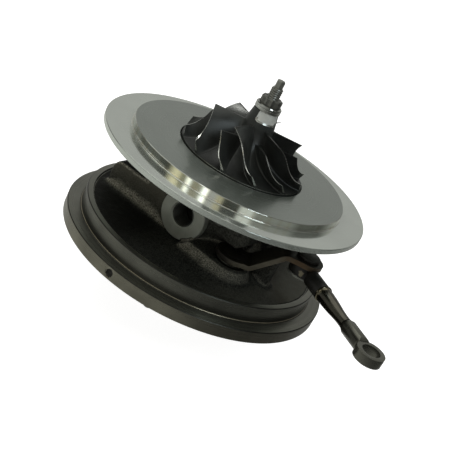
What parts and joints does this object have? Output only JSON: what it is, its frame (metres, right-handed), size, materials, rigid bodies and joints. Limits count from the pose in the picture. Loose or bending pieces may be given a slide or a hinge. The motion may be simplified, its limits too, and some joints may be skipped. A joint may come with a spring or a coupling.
{
  "type": "turbo cartridge",
  "caption": "Turbocharger centre cartridge: bladed rotor in a cast bearing housing with a compressor back plate, a turbine flange, and a bent vane lever with its control link.",
  "frame": {"origin": "on the shaft axis, level with the underside of the turbine-side rim", "axes": "+Z along the shaft towards the compressor, -Y the way the oil inlet faces, +X the side of the lever and link"},
  "size_m": [0.1429, 0.1074, 0.0999],
  "materials": {
    "cast_housing": "sand-cast black iron with machined rim and spigot",
    "turned_plate": "satin turned aluminium",
    "plate_bolts": "dark phosphated steel",
    "o_ring": "black rubber",
    "thrust_bronze": "machined bronze",
    "journal_bronze": "machined bronze",
    "bearing_pin": "ground steel",
    "seal_rings": "ground steel",
    "heat_shield": "pressed steel sheet, lightly heat tinted",
    "dowel": "dark ground steel",
    "lever_bush": "machined steel",
    "shaft_steel": "turned and ground steel",
    "turbine_alloy": "investment-cast nickel alloy",
    "collar_steel": "ground steel",
    "wheel_alloy": "cast aluminium, satin, with bright machined blade edges",
    "nut_steel": "bright plated steel",
    "lever_steel": "brown-black steel strip with heat tint at the bends",
    "pivot_steel": "turned steel",
    "crank_steel": "stamped steel",
    "clip_steel": "spring steel",
    "link_black": "matt black steel",
    "link_bright": "polished steel",
    "link_steel": "gunmetal steel"
  },
  "bodies": {
    "housing": {"bearing_housing": "cast_housing", "compressor_backplate": "turned_plate", "backplate_bolts": "plate_bolts", "backplate_o_ring": "o_ring", "thrust_bearing": "thrust_bronze", "journal_bearing": "journal_bronze", "bearing_pin": "bearing_pin", "compressor_seal_ring": "seal_rings", "turbine_seal_ring": "seal_rings", "heat_shield": "heat_shield", "locating_dowel": "dowel", "lever_bush": "lever_bush"},
    "rotor": {"turbine_shaft": "shaft_steel", "turbine_wheel": "turbine_alloy", "thrust_collar": "collar_steel", "oil_flinger": "collar_steel", "compressor_wheel": "wheel_alloy", "shaft_nut": "nut_steel"},
    "lever": {"control_lever": "lever_steel", "lever_shaft": "pivot_steel", "inner_crank": "crank_steel", "crank_pin": "pivot_steel", "crank_slider": "crank_steel", "link_pin": "pivot_steel", "link_clip": "clip_steel"},
    "link": {"link_inner_end": "link_black", "link_stud": "link_bright", "link_outer_end": "link_steel"}
  },
  "joints": [
    {"name": "rotor_spin", "type": "hinge", "parent": "housing", "child": "rotor", "pos_m": [0, 0, 0], "axis": [0, 0, 1], "continuous": true},
    {"name": "lever_swing", "type": "hinge", "parent": "housing", "child": "lever", "pos_m": [0.0223, -0.01806, 0.0182], "axis": [0, 0, 1], "range_deg": [-18, 8]},
    {"name": "link_swing", "type": "hinge", "parent": "lever", "child": "link", "pos_m": [0.04365, -0.00603, 0.0263], "axis": [0, 0, 1], "range_deg": [-25, 25]}
  ]
}
